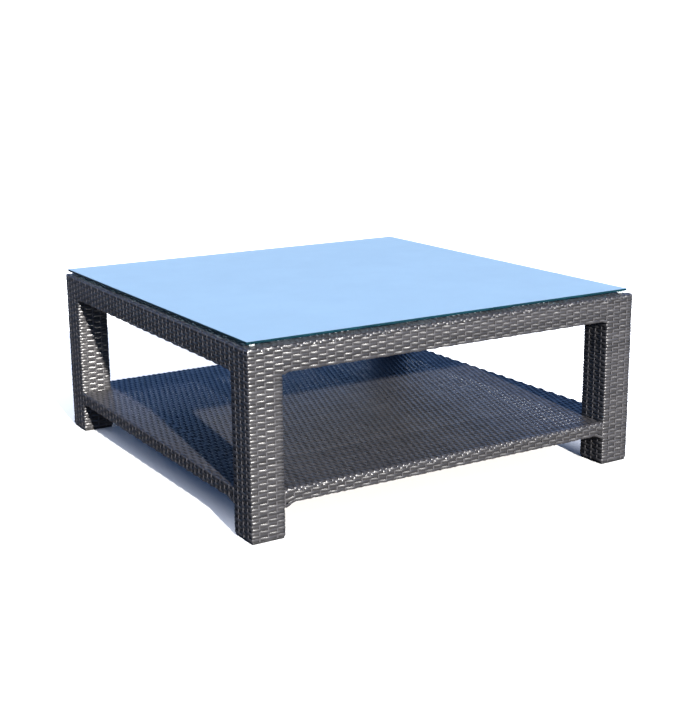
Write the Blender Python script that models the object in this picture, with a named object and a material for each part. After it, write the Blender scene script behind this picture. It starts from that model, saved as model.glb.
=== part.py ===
"""Square wicker coffee table, built the way the real one is.

A welded aluminium tube frame carries a skin of woven synthetic wicker. The top is a woven panel with
a loose sheet of toughened glass that rests on clear bumpers, and a second woven panel makes a low shelf.

Metres, +Z up. The origin is on the floor, under the middle of the table. The front apron faces -Y.
"""

import math

import bmesh
import bpy

# Overall size of the wicker body and the glass
SIDE = 1.000
WICKER_TOP = 0.400
GLASS_TOP = 0.411
GLASS_SIDE = 0.986
GLASS_THICKNESS = 0.005
GLASS_CORNER = 0.004
GLASS_CORNER_STEPS = 6
# The loose sheet lies a little to the back and left of the middle
GLASS_SHIFT = (-0.001, 0.005)
GLASS_ARRIS = 0.0008
GLASS_ARRIS_STEPS = 2

# Wicker skins
LEG_SIDE = 0.078
SKIN = 0.0032
PANEL = 0.0030
APRON_BOTTOM = 0.343
SHELF_TOP = 0.104
SHELF_BOTTOM = 0.072
SKIN_CORNER = 0.006
EDGE_FILLET = 0.014
FILLET_STEPS = 6
CORNER_STEPS = 3

# Aluminium frame
POST_SIDE = 0.071
POST_WALL = 0.002
POST_CORNER = 0.004
RAIL_DEPTH = 0.025
RAIL_WALL = 0.0015
BAR_SIDE = 0.020
BAR_WALL = 0.0015
TUBE_CORNER = 0.002
BAR_OFFSET = 0.165

# Feet and bumpers
FOOT_SIDE = 0.074
FOOT_RIM = 0.005
FOOT_PLUG_DEPTH = 0.018
FOOT_PLUG_WALL = 0.003
FOOT_PLUG_PLAY = 0.0004
FOOT_BEVEL = 0.0012
BUMPER_RADIUS = 0.006
BUMPER_PLACE = 0.478
BUMPER_BEVEL = 0.0008
BUMPER_SIDES = 24

# Edges that bend more than this count as corners, in degrees
CORNER_ANGLE = 40
ROUNDING_STEPS = 2

# Clearance left between pieces that touch, and how far a cutter runs past the face it cuts
GAP = 0.0003
OVERRUN = 0.02
SHORT_OVERRUN = 0.005

HALF = SIDE / 2
LEG_INNER = HALF - LEG_SIDE
FRAME_FACE = HALF - SKIN - GAP
POST_CENTRE = FRAME_FACE - POST_SIDE / 2
POST_INNER = FRAME_FACE - POST_SIDE
PANEL_BOTTOM = WICKER_TOP - PANEL
FRAME_TOP = PANEL_BOTTOM - GAP
RAIL_BOTTOM = APRON_BOTTOM + SKIN + GAP
SHELF_FRAME_TOP = SHELF_TOP - PANEL - GAP
SHELF_RAIL_BOTTOM = SHELF_BOTTOM + SKIN + GAP
SKIN_START = FOOT_RIM + GAP
RAIL_INNER = FRAME_FACE - RAIL_DEPTH
CHANNEL_INNER = RAIL_INNER - GAP
SKIN_INNER = CHANNEL_INNER - SKIN

CORNERS = (
    ("front_left", -1, -1),
    ("front_right", 1, -1),
    ("back_right", 1, 1),
    ("back_left", -1, 1),
)
SIDES = (("front", 0), ("right", 90), ("back", 180), ("left", 270))

WICKER = ("wicker", (0.105, 0.100, 0.104), 0.55, 0.0)
ALUMINIUM = ("coated_aluminium", (0.045, 0.043, 0.042), 0.45, 0.6)
BLACK_PLASTIC = ("black_plastic", (0.012, 0.012, 0.013), 0.60, 0.0)
CLEAR_BUMPER = ("clear_bumper", (0.72, 0.78, 0.80), 0.20, 0.0)
GLASS = ("glass", (0.50, 0.72, 0.86), 0.08, 0.0)


def remove_everything():
    """Start from an empty scene."""
    for old in list(bpy.data.objects):
        bpy.data.objects.remove(old, do_unlink=True)


def get_material(finish):
    """Return the material for one finish, made the first time it is asked for."""
    name, colour, roughness, metallic = finish
    material = bpy.data.materials.get(name)
    if material is None:
        material = bpy.data.materials.new(name)
        material.use_nodes = True
        shader = material.node_tree.nodes["Principled BSDF"]
        shader.inputs["Base Color"].default_value = (*colour, 1.0)
        shader.inputs["Roughness"].default_value = roughness
        shader.inputs["Metallic"].default_value = metallic
    return material


def object_from(name, mesh_builder, finish):
    """Turn a bmesh into a named object with its material."""
    mesh = bpy.data.meshes.new(name)
    bmesh.ops.recalc_face_normals(mesh_builder, faces=mesh_builder.faces)
    mesh_builder.to_mesh(mesh)
    mesh_builder.free()
    piece = bpy.data.objects.new(name, mesh)
    bpy.context.scene.collection.objects.link(piece)
    if finish is not None:
        mesh.materials.append(get_material(finish))
    return piece


def prism(outline, bottom, top):
    """Raise a flat XY outline into a closed prism between two heights."""
    builder = bmesh.new()
    ring = [builder.verts.new((x, y, bottom)) for x, y in outline]
    base = builder.faces.new(ring)
    grown = bmesh.ops.extrude_face_region(builder, geom=[base])
    raised = [item for item in grown["geom"] if isinstance(item, bmesh.types.BMVert)]
    bmesh.ops.translate(builder, verts=raised, vec=(0, 0, top - bottom))
    return builder


def rounded_square(side, radius, steps=CORNER_STEPS):
    """Outline of a square about the origin with round corners."""
    reach = side / 2 - radius
    outline = []
    for quarter, (sign_x, sign_y) in enumerate(((1, 1), (-1, 1), (-1, -1), (1, -1))):
        for step in range(steps + 1):
            angle = math.radians(90 * quarter + 90 * step / steps)
            outline.append((sign_x * reach + radius * math.cos(angle),
                            sign_y * reach + radius * math.sin(angle)))
    return outline


def moved(outline, offset_x, offset_y):
    """Shift a flat outline."""
    return [(x + offset_x, y + offset_y) for x, y in outline]


def box(low, high):
    """A plain block between two corners."""
    outline = [(low[0], low[1]), (high[0], low[1]), (high[0], high[1]), (low[0], high[1])]
    return prism(outline, low[2], high[2])


def cutter(name, mesh_builder):
    """A hidden solid that only cuts others."""
    tool = object_from(name, mesh_builder, None)
    tool.hide_render = True
    tool.display_type = "WIRE"
    return tool


def cut(piece, tool):
    """Take one solid out of another."""
    modifier = piece.modifiers.new("cut_" + tool.name, "BOOLEAN")
    modifier.operation = "DIFFERENCE"
    modifier.solver = "EXACT"
    modifier.object = tool


def soften(piece, width, steps=ROUNDING_STEPS):
    """Round the sharp edges of a piece."""
    modifier = piece.modifiers.new("soft_edges", "BEVEL")
    modifier.width = width
    modifier.segments = steps
    modifier.limit_method = "ANGLE"
    modifier.angle_limit = math.radians(CORNER_ANGLE)


def open_tube(name, length, depth, height, wall, finish):
    """A rectangular tube along X about the origin, open at both ends."""
    outer_y, outer_z = depth / 2, height / 2
    inner_y, inner_z = outer_y - wall, outer_z - wall
    builder = bmesh.new()
    loops = []
    for end in (-length / 2, length / 2):
        for half_y, half_z in ((outer_y, outer_z), (inner_y, inner_z)):
            corners = ((-half_y, -half_z), (half_y, -half_z), (half_y, half_z), (-half_y, half_z))
            loops.append([builder.verts.new((end, y, z)) for y, z in corners])
    for first, second in ((0, 1), (2, 3), (0, 2), (1, 3)):
        for corner in range(4):
            after = (corner + 1) % 4
            builder.faces.new((loops[first][corner], loops[first][after],
                               loops[second][after], loops[second][corner]))
    tube = object_from(name, builder, finish)
    long_edges = tube.modifiers.new("drawn_corners", "BEVEL")
    long_edges.width = TUBE_CORNER
    long_edges.segments = ROUNDING_STEPS
    long_edges.limit_method = "WEIGHT"
    weights = tube.data.attributes.new("bevel_weight_edge", "FLOAT", "EDGE")
    for edge in tube.data.edges:
        first, second = (tube.data.vertices[index].co for index in edge.vertices)
        on_outside = abs(abs(first.y) - outer_y) < GAP and abs(abs(first.z) - outer_z) < GAP
        if on_outside and abs(first.x - second.x) > length / 2:
            weights.data[edge.index].value = 1.0
    return tube


def place(piece, location, turn_degrees=0):
    """Set a piece down, turned about the vertical axis."""
    piece.location = location
    piece.rotation_euler = (0, 0, math.radians(turn_degrees))


def leg_post(name, sign_x, sign_y):
    """Square corner tube of the frame, open at both ends."""
    centre_x, centre_y = sign_x * POST_CENTRE, sign_y * POST_CENTRE
    outside = rounded_square(POST_SIDE, POST_CORNER)
    inside = rounded_square(POST_SIDE - 2 * POST_WALL, POST_CORNER - POST_WALL)
    builder = bmesh.new()
    rings = []
    for height in (SKIN_START, FRAME_TOP):
        for outline in (outside, inside):
            rings.append([builder.verts.new((x, y, height)) for x, y in outline])
    count = len(outside)
    for first, second in ((0, 1), (2, 3), (0, 2), (1, 3)):
        for index in range(count):
            after = (index + 1) % count
            builder.faces.new((rings[first][index], rings[first][after],
                               rings[second][after], rings[second][index]))
    post = object_from("leg_post_" + name, builder, ALUMINIUM)
    post.location = (centre_x, centre_y, 0)
    return post


def rail_spans():
    """Both rows of rails: name, bottom and top of the tube, bottom and top of the skin."""
    return (
        ("top_rail", RAIL_BOTTOM, FRAME_TOP),
        ("shelf_rail", SHELF_RAIL_BOTTOM, SHELF_FRAME_TOP),
    )


def rails():
    """Four rails under the top panel and four under the shelf panel, welded between the posts."""
    length = 2 * (POST_INNER - GAP)
    for kind, bottom, top in rail_spans():
        for side, turn in SIDES:
            tube = open_tube(f"{kind}_{side}", length, RAIL_DEPTH, top - bottom, RAIL_WALL, ALUMINIUM)
            angle = math.radians(turn)
            reach = FRAME_FACE - RAIL_DEPTH / 2
            place(tube, (reach * math.sin(angle), -reach * math.cos(angle), (bottom + top) / 2), turn)


def cross_bars():
    """Two bars under each panel, welded between the front and back rails."""
    length = 2 * (RAIL_INNER - GAP)
    for kind, top in (("top_cross_bar", FRAME_TOP), ("shelf_cross_bar", SHELF_FRAME_TOP)):
        for side, sign in (("left", -1), ("right", 1)):
            bar = open_tube(f"{kind}_{side}", length, BAR_SIDE, BAR_SIDE, BAR_WALL, ALUMINIUM)
            place(bar, (sign * BAR_OFFSET, 0, top - BAR_SIDE / 2), 90)


def window_cutters():
    """Solids with the rails' shape, plus clearance, that open the leg skins where rails pass."""
    tools = []
    long_half = HALF - LEG_SIDE / 2
    top_windows = (RAIL_BOTTOM - GAP, WICKER_TOP + OVERRUN)
    shelf_windows = (SHELF_RAIL_BOTTOM - GAP, SHELF_FRAME_TOP + GAP)
    for level, (bottom, top) in (("top", top_windows), ("shelf", shelf_windows)):
        for side, turn in SIDES:
            near, far = CHANNEL_INNER, FRAME_FACE + GAP
            tool = cutter(f"window_{level}_{side}",
                          box((-long_half, -far, bottom), (long_half, -near, top)))
            tool.rotation_euler = (0, 0, math.radians(turn))
            tools.append((side, tool))
    return tools


def leg_wicker(name, sign_x, sign_y, windows):
    """Woven sleeve round one post, with windows where the rails come in."""
    centre_x, centre_y = sign_x * (HALF - LEG_SIDE / 2), sign_y * (HALF - LEG_SIDE / 2)
    outside = rounded_square(LEG_SIDE, SKIN_CORNER)
    sleeve = object_from("leg_wicker_" + name, prism(moved(outside, centre_x, centre_y),
                                                     SKIN_START, PANEL_BOTTOM - GAP), WICKER)
    bore_side = LEG_SIDE - 2 * SKIN
    bore = prism(moved(rounded_square(bore_side, POST_CORNER), centre_x, centre_y),
                 SKIN_START - OVERRUN, WICKER_TOP + OVERRUN)
    cut(sleeve, cutter("bore_" + name, bore))
    for side, tool in windows:
        if side in name:
            cut(sleeve, tool)
    return sleeve


def edge_skin(name, bottom, top, bar_top, has_bars, turn):
    """Woven channel round one rail: outer wall, underside and inner wall, with a small fillet
    at each lower end where the weave turns down the leg."""
    half = LEG_INNER - GAP
    outline = []
    for step in range(FILLET_STEPS + 1):
        angle = math.radians(180 - 90 * step / FILLET_STEPS)
        outline.append((-half + EDGE_FILLET + EDGE_FILLET * math.cos(angle),
                        bottom - EDGE_FILLET + EDGE_FILLET * math.sin(angle)))
    outline += [(-x, z) for x, z in reversed(outline)]
    outline += [(half, top), (-half, top)]
    builder = bmesh.new()
    face = builder.faces.new([builder.verts.new((x, -HALF, z)) for x, z in outline])
    grown = bmesh.ops.extrude_face_region(builder, geom=[face])
    pushed = [item for item in grown["geom"] if isinstance(item, bmesh.types.BMVert)]
    bmesh.ops.translate(builder, verts=pushed, vec=(0, HALF - SKIN_INNER, 0))
    skin = object_from(name, builder, WICKER)
    skin.rotation_euler = (0, 0, math.radians(turn))

    channel = cutter("channel_" + name, box((-HALF, -FRAME_FACE - GAP, bottom + SKIN),
                                            (HALF, -CHANNEL_INNER, top + OVERRUN)))
    channel.rotation_euler = (0, 0, math.radians(turn))
    cut(skin, channel)
    if has_bars:
        for sign in (-1, 1):
            middle, reach = sign * BAR_OFFSET, BAR_SIDE / 2 + GAP
            low = (middle - reach, -CHANNEL_INNER - SHORT_OVERRUN, bar_top - BAR_SIDE - GAP)
            high = (middle + reach, -SKIN_INNER + OVERRUN, top + OVERRUN)
            slot = cutter(f"slot_{name}_{sign}", box(low, high))
            slot.rotation_euler = (0, 0, math.radians(turn))
            cut(skin, slot)
    return skin


def edge_skins():
    """Apron skins round the top rails and edge skins round the shelf rails."""
    for side, turn in SIDES:
        has_bars = side in ("front", "back")
        edge_skin("apron_wicker_" + side, APRON_BOTTOM, PANEL_BOTTOM - GAP, FRAME_TOP, has_bars, turn)
        edge_skin("shelf_edge_wicker_" + side, SHELF_BOTTOM, SHELF_TOP - PANEL - GAP,
                  SHELF_FRAME_TOP, has_bars, turn)


def top_weave_panel():
    """Woven sheet that covers the whole top, posts included."""
    panel = object_from("top_weave_panel",
                        prism(rounded_square(SIDE, SKIN_CORNER), PANEL_BOTTOM, WICKER_TOP), WICKER)
    soften(panel, PANEL / 3)
    return panel


def shelf_weave_panel():
    """Woven sheet of the shelf, notched round the four legs."""
    reach, notch = HALF, LEG_INNER - GAP
    outline = []
    for sign_x, sign_y in ((1, 1), (-1, 1), (-1, -1), (1, -1)):
        points = [(reach, notch), (notch, notch), (notch, reach)]
        if sign_x * sign_y < 0:
            points.reverse()
        outline += [(sign_x * x, sign_y * y) for x, y in points]
    return object_from("shelf_weave_panel", prism(outline, SHELF_TOP - PANEL, SHELF_TOP), WICKER)


def foot_cap(name, sign_x, sign_y):
    """Plastic cap under one post: a rim the leg stands on and a hollow plug pushed up the tube."""
    centre_x, centre_y = sign_x * POST_CENTRE, sign_y * POST_CENTRE
    plug_side = POST_SIDE - 2 * POST_WALL - 2 * FOOT_PLUG_PLAY
    plug_corner = POST_CORNER - POST_WALL
    cap = object_from("foot_cap_" + name, prism(rounded_square(FOOT_SIDE, POST_CORNER), 0, FOOT_RIM),
                      BLACK_PLASTIC)
    soften(cap, FOOT_BEVEL)
    plug = cutter("plug_" + name, prism(rounded_square(plug_side, plug_corner), FOOT_RIM / 2,
                                        FOOT_RIM + FOOT_PLUG_DEPTH))
    join = cap.modifiers.new("plug", "BOOLEAN")
    join.operation = "UNION"
    join.solver = "EXACT"
    join.object = plug
    hollow_side = plug_side - 2 * FOOT_PLUG_WALL
    hollow = cutter("hollow_" + name, prism(rounded_square(hollow_side, plug_corner), FOOT_RIM,
                                            FOOT_RIM + FOOT_PLUG_DEPTH + OVERRUN))
    cut(cap, hollow)
    for piece in (cap, plug, hollow):
        piece.location = (centre_x, centre_y, 0)
    return cap


def glass_bumper(name, sign_x, sign_y):
    """Clear soft disc that holds the glass off the wicker."""
    height = GLASS_TOP - GLASS_THICKNESS - WICKER_TOP - 2 * GAP
    builder = bmesh.new()
    bmesh.ops.create_cone(builder, cap_ends=True, segments=BUMPER_SIDES, radius1=BUMPER_RADIUS,
                          radius2=BUMPER_RADIUS, depth=height)
    bumper = object_from("glass_bumper_" + name, builder, CLEAR_BUMPER)
    bumper.location = (sign_x * BUMPER_PLACE, sign_y * BUMPER_PLACE, WICKER_TOP + GAP + height / 2)
    soften(bumper, BUMPER_BEVEL)
    bumper.data.shade_smooth()
    bumper.data.set_sharp_from_angle(angle=math.radians(CORNER_ANGLE))
    return bumper


def glass_top():
    """Toughened glass sheet with round corners and ground arrises. It lifts off."""
    builder = prism(rounded_square(GLASS_SIDE, GLASS_CORNER, GLASS_CORNER_STEPS), 0, GLASS_THICKNESS)
    sheet = object_from("glass_top", builder, GLASS)
    soften(sheet, GLASS_ARRIS, GLASS_ARRIS_STEPS)
    sheet.location = (*GLASS_SHIFT, GLASS_TOP - GLASS_THICKNESS)
    return sheet


def main():
    remove_everything()
    windows = window_cutters()
    for name, sign_x, sign_y in CORNERS:
        leg_post(name, sign_x, sign_y)
        foot_cap(name, sign_x, sign_y)
        leg_wicker(name, sign_x, sign_y, windows)
        glass_bumper(name, sign_x, sign_y)
    rails()
    cross_bars()
    edge_skins()
    top_weave_panel()
    shelf_weave_panel()
    glass_top()


main()
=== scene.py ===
"""Looks of a square wicker coffee table: woven skins, glass, bumpers, feet and the studio."""

import math

import bmesh
import bpy
from bpy.props import FloatProperty, FloatVectorProperty, PointerProperty
from mathutils import Matrix, Vector


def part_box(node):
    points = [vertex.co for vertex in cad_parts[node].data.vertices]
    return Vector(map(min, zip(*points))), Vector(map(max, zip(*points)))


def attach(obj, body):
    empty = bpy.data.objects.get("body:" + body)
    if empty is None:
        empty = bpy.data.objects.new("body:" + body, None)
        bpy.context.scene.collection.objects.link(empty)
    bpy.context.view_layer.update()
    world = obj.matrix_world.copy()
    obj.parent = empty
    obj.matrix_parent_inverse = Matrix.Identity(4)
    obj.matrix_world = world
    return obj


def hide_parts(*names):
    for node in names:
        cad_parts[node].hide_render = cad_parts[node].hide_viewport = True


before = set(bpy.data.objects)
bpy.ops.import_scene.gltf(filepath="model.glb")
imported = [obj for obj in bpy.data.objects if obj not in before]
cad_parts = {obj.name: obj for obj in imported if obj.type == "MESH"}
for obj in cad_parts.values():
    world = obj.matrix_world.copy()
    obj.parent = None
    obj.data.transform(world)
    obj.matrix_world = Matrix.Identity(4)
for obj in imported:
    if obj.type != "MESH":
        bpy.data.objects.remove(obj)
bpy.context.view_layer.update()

bl_info = {
    "name": "Wicker Coffee Table",
    "version": (1, 0, 0),
    "blender": (4, 5, 0),
    "location": "3D View > Sidebar > Wicker Table",
    "description": "Weaves the skins of a square wicker coffee table and finishes its glass and feet",
    "category": "Object",
}

CORNERS = (("front_left", 0), ("front_right", 90), ("back_right", 180), ("back_left", 270))
SIDES = (("front", 0), ("right", 90), ("back", 180), ("left", 270))
BODY = "table_frame"
GLASS_BODY = "glass_sheet"

# How finely strips and their paths are cut up
SECTION_SIDES = 6
SECTION_FLAT = math.sqrt(3) / 2
BEND_STEPS = 4
WAVE_STEPS = 4
SHORTEST_STEP = 0.0012
WAVE_HEIGHT = 0.9

# A turn, a rise or a length below these counts as none
NO_TURN = 1e-6
NO_RISE = 1e-4
NO_LENGTH = 1e-5

# The rotate operator turns clockwise for a positive angle, and headings count the other way
TURN_SIGN = -1

# Row numbers give each strand its own tint. Each set of strands in a piece counts on from its own start.
SECOND_SET = 500
UPPER_SET = 100
INNER_SET = 200
RIGHT_SET = 1000
SIDE_SET = 2000
RIGHT_SIDE_SET = 3000
STAKE_ROW = 5000

# Weave details that seldom change
BAND_TOP_GAP = 0.0036
HOOP_BEND = 0.0035
INNER_BOTTOM_GAP = 0.003
INNER_GAPS = 0.004
UNDER_ROWS = 4
SHELF_EDGE_ROWS = 4
SHELF_EDGE_PITCH = 0.0071
SHELF_EDGE_START = 0.0006
APRON_DROP, APRON_DROP_SPREAD = 0.004, 0.014
SHELF_DROP, SHELF_DROP_SPREAD = 0.009, 0.024
END_REACH, LOW_REACH = 0.0004, 0.003
PANEL_ROW_RATIO = 0.955
PANEL_STRAND_EXTRA = 0.0005
PANEL_STAKE_THICKNESS = 0.0006
TOP_STAKE_WIDTH = 0.0160
SHELF_STAKE_WIDTH = 0.0158
SHORT_STRAND_GAP = 0.001
WANDER_SIZE, WANDER_REACH = 0.022, 0.0016

# Glass and bumper details
GLASS_CORNER_STEPS = 8
GLASS_ARRIS_STEPS = 2
FLAT_FACE = 0.999
BUMPER_SIDES = 32
BUMPER_ROUNDING_STEPS = 3
FACES_UP = 0.9
BUMPER_RIM, BUMPER_GROOVE, BUMPER_ROUNDING = 0.0016, 0.0004, 0.0007
SMOOTH_ANGLE = math.radians(50)

# Studio
WHITE = (1.0, 1.0, 1.0)
FLOOR_RADIUS = 500.0
FLOOR_GAP = 0.0005
WALL_HEIGHT = 400.0
ROUND_SIDES = 96
KEY_TRAVEL = (0.135, 1.0, -0.39)
KEY_COLOUR = (1.0, 0.96, 0.91)
KEY_PLACE = (-1, -4, 3)
LAMP_HEIGHT = 5.0
FLOOR_LIGHT_ANGLE = math.radians(100)
CAMERA_EYE = (-1.5963, -2.6441, 0.9732)
CAMERA_YAW, CAMERA_PITCH, CAMERA_ROLL = (math.radians(angle) for angle in (31.767, 13.508, -0.446))
CAMERA_LENS = 66.56
CAMERA_SENSOR = 36


# --- Places taken from the frame -------------------------------------------------------------

def frame_places():
    """The few places that every weave is built from, read from the tubes and skins it wraps."""
    panel_low, panel_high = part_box("top_weave_panel")
    shelf_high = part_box("shelf_weave_panel")[1]
    leg_low, leg_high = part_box("leg_wicker_front_left")
    rail_low, rail_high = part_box("top_rail_front")
    shelf_rail_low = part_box("shelf_rail_front")[0]
    skin = rail_low[1] - panel_low[1]
    return {
        "half": panel_high[0],
        "top": panel_high[2],
        "shelf_top": shelf_high[2],
        "leg_side": leg_high[0] - leg_low[0],
        "leg_foot": leg_low[2],
        "skin": skin,
        "rail_outer": -rail_low[1],
        "rail_inner": -rail_high[1],
        "rail_bottom": rail_low[2],
        "shelf_rail_bottom": shelf_rail_low[2],
    }


PLACE = frame_places()
HALF = PLACE["half"]
LEG_INNER = HALF - PLACE["leg_side"]
LEG_CENTRE = HALF - PLACE["leg_side"] / 2
APRON_BOTTOM = PLACE["rail_bottom"] - PLACE["skin"]
SHELF_BOTTOM = PLACE["shelf_rail_bottom"] - PLACE["skin"]


# --- Settings --------------------------------------------------------------------------------

class WeaveSettings(bpy.types.PropertyGroup):
    strand_width: FloatProperty(name="Strand width", description="Width of a woven strand",
                                default=0.0060, unit="LENGTH")
    strand_thickness: FloatProperty(name="Strand thickness", description="Thickness of a woven strand",
                                    default=0.0011, unit="LENGTH")
    stake_width: FloatProperty(name="Stake width", description="Width of the strips the strands cross",
                               default=0.0034, unit="LENGTH")
    stake_thickness: FloatProperty(name="Stake thickness", description="Thickness of those strips",
                                   default=0.0019, unit="LENGTH")
    lift: FloatProperty(name="Lift", description="How far a strand rises and dips as it crosses a stake",
                        default=0.0019, unit="LENGTH")
    panel_lift: FloatProperty(name="Top panel lift", description="The same in the top panel",
                              default=0.0012, unit="LENGTH")
    shelf_lift: FloatProperty(name="Shelf lift", description="The same in the shelf panel",
                              default=0.0015, unit="LENGTH")
    row_pitch: FloatProperty(name="Row pitch", description="Distance from one strand to the next",
                             default=0.0070, unit="LENGTH")
    stake_pitch: FloatProperty(name="Stake pitch", description="Distance from one stake to the next",
                               default=0.0200, unit="LENGTH")
    leg_corner: FloatProperty(name="Leg corner", description="Bend of a strand round a leg's corner",
                              default=0.0026, unit="LENGTH")
    nose: FloatProperty(name="Nose", description="Bend of a panel's strand over the table's edge",
                        default=0.0050, unit="LENGTH")
    wicker_colour: FloatVectorProperty(name="Wicker", description="Colour of the synthetic strands",
                                       default=(0.034, 0.033, 0.035), size=3, subtype="COLOR")


class GlassSettings(bpy.types.PropertyGroup):
    corner: FloatProperty(name="Corner radius", description="Radius of the sheet's corners",
                          default=0.004, unit="LENGTH")
    arris: FloatProperty(name="Arris", description="Width of the ground arris", default=0.0007,
                         unit="LENGTH")
    # The pale blue here is a painted reflection of the sky
    tint: FloatVectorProperty(name="Glass", description="Cast of the sheet", size=3, subtype="COLOR",
                              default=(0.53, 0.75, 0.87))
    edge_tint: FloatVectorProperty(name="Glass edge", description="Colour seen in the ground edge",
                                   size=3, subtype="COLOR", default=(0.003, 0.022, 0.030))


class StageSettings(bpy.types.PropertyGroup):
    floor_colour: FloatVectorProperty(name="Floor", description="Colour of the floor", size=3,
                                      subtype="COLOR", default=(0.90, 0.90, 0.88))
    floor_light: FloatProperty(name="Floor light", description="Strength of the soft overhead light "
                               "that falls on the floor alone", default=2.8)
    floor_fill: FloatProperty(name="Floor fill", description="Strength of the light that softens the "
                              "shadow on the floor", default=0.8)
    key_strength: FloatProperty(name="Key light", description="Strength of the key light", default=10.2)
    key_softness: FloatProperty(name="Key softness", description="Angle that the key light spans",
                                default=math.radians(1.2), unit="ROTATION")
    fill_strength: FloatProperty(name="Fill light", description="Strength of the light from all round",
                                 default=1.0)


# --- Modelling helpers -----------------------------------------------------------------------

def start_clean():
    """Leave edit mode and deselect everything, so the next operator acts only on its own piece."""
    if bpy.context.object and bpy.context.object.mode != "OBJECT":
        bpy.ops.object.mode_set(mode="OBJECT")
    bpy.ops.object.select_all(action="DESELECT")


def only(piece):
    """Make one piece selected and active."""
    start_clean()
    piece.select_set(True)
    bpy.context.view_layer.objects.active = piece


def apply_place(piece):
    """Bake an object's place, turn and scale into its mesh."""
    only(piece)
    bpy.ops.object.transform_apply(location=True, rotation=True, scale=True)


def apply_modifier(piece, kind, **values):
    """Add a modifier, set it and apply it."""
    only(piece)
    bpy.ops.object.modifier_add(type=kind)
    modifier = piece.modifiers[-1]
    for key, value in values.items():
        setattr(modifier, key, value)
    bpy.ops.object.modifier_apply(modifier=modifier.name)


def repeat(piece, count, step):
    """Lay copies of a strip side by side."""
    if count > 1:
        apply_modifier(piece, "ARRAY", fit_type="FIXED_COUNT", count=count, use_relative_offset=False,
                       use_constant_offset=True, constant_offset_displace=step, offset_v=1.0)


def join(pieces, name):
    """Join strips into one piece with its own name."""
    start_clean()
    for piece in pieces:
        piece.select_set(True)
    bpy.context.view_layer.objects.active = pieces[0]
    bpy.ops.object.join()
    joined = bpy.context.object
    joined.name = name
    joined.data.name = name
    return joined


def select_in_edit(test, kind="faces"):
    """Select, in edit mode, the faces, edges or verts that pass a test of their place or normal."""
    builder = bmesh.from_edit_mesh(bpy.context.object.data)
    bpy.ops.mesh.select_all(action="DESELECT")
    bpy.ops.mesh.select_mode(type={"faces": "FACE", "edges": "EDGE", "verts": "VERT"}[kind])
    for item in getattr(builder, kind):
        item.select_set(test(item))
    builder.select_flush_mode()
    bmesh.update_edit_mesh(bpy.context.object.data)


def mark_run(strip, lengths, shift):
    """Give a strip a map that runs along it in metres and once round its section."""
    mesh = strip.data
    run = mesh.uv_layers.new(name="run")
    for face in mesh.polygons:
        corners = [mesh.loops[loop].vertex_index % SECTION_SIDES for loop in face.loop_indices]
        wraps = 0 in corners and SECTION_SIDES - 1 in corners and len(corners) == 4
        for loop, corner in zip(face.loop_indices, corners):
            ring = mesh.loops[loop].vertex_index // SECTION_SIDES
            around = SECTION_SIDES if wraps and corner == 0 else corner
            run.data[loop].uv = (lengths[ring], shift + around / SECTION_SIDES)


def lay_strip(name, path, width, thickness, closed=False, shift=0):
    """Extrude a flat six-sided section along a path of (point, heading). The section's width
    stands along Z and its thickness lies across the heading."""
    start_clean()
    start, heading = path[0]
    bpy.ops.mesh.primitive_circle_add(vertices=SECTION_SIDES, radius=1, fill_type="NGON",
                                      rotation=(math.pi / 2, 0, heading - math.pi / 2))
    strip = bpy.context.object
    strip.scale = (thickness / (2 * SECTION_FLAT), width / 2, 1)
    strip.location = start
    apply_place(strip)
    bpy.ops.object.mode_set(mode="EDIT")
    bpy.ops.mesh.select_all(action="SELECT")
    lengths = [0.0]
    for point, after in path[1:]:
        move = Vector(point) - Vector(start)
        bpy.ops.mesh.extrude_region_move(TRANSFORM_OT_translate={"value": move})
        turn = (after - heading + math.pi) % (2 * math.pi) - math.pi
        if abs(turn) > NO_TURN:
            bpy.ops.transform.rotate(value=TURN_SIGN * turn, orient_axis="Z", center_override=point)
        lengths.append(lengths[-1] + move.length)
        start, heading = point, after
    bpy.ops.object.mode_set(mode="OBJECT")
    strip.name = name
    mark_run(strip, lengths, shift)
    bpy.ops.object.mode_set(mode="EDIT")
    if closed:
        select_in_edit(lambda face: len(face.verts) == SECTION_SIDES)
        bpy.ops.mesh.delete(type="ONLY_FACE")
        bpy.ops.mesh.select_all(action="SELECT")
        bpy.ops.mesh.remove_doubles(threshold=NO_LENGTH)
    bpy.ops.mesh.select_all(action="SELECT")
    bpy.ops.mesh.normals_make_consistent(inside=False)
    bpy.ops.object.mode_set(mode="OBJECT")
    return strip


def turned(piece, matrix):
    """Turn or move a piece's mesh by a matrix."""
    piece.matrix_world = matrix
    apply_place(piece)
    return piece


# The first two stand a strip laid in plan upright, along X or along Y. The third swaps X and Z.
PLAN_TO_SIDE = Matrix(((1, 0, 0, 0), (0, 0, -1, 0), (0, 1, 0, 0), (0, 0, 0, 1)))
PLAN_TO_END = Matrix(((0, 0, 1, 0), (1, 0, 0, 0), (0, 1, 0, 0), (0, 0, 0, 1)))
X_TO_Z = Matrix(((0, 0, 1, 0), (0, 1, 0, 0), (1, 0, 0, 0), (0, 0, 0, 1)))


# --- Weave paths -----------------------------------------------------------------------------

def wave(distance, pitch, lift):
    """Height of a taut strand that goes over one stake and under the next."""
    angle = math.pi * distance / pitch
    return lift * (math.cos(angle) + math.cos(3 * angle) / 9) * WAVE_HEIGHT


def straight_wave(start, end, pitch, lift, origin, level, sign):
    """A strand along X that rises and dips across Y, and whose crests face -Y when sign is 1."""
    steps = round((end - start) / pitch * WAVE_STEPS)
    path = []
    for step in range(steps + 1):
        x = start + (end - start) * step / steps
        path.append(((x, level - sign * wave(x - origin, pitch, lift), 0), 0.0))
    return path


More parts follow.
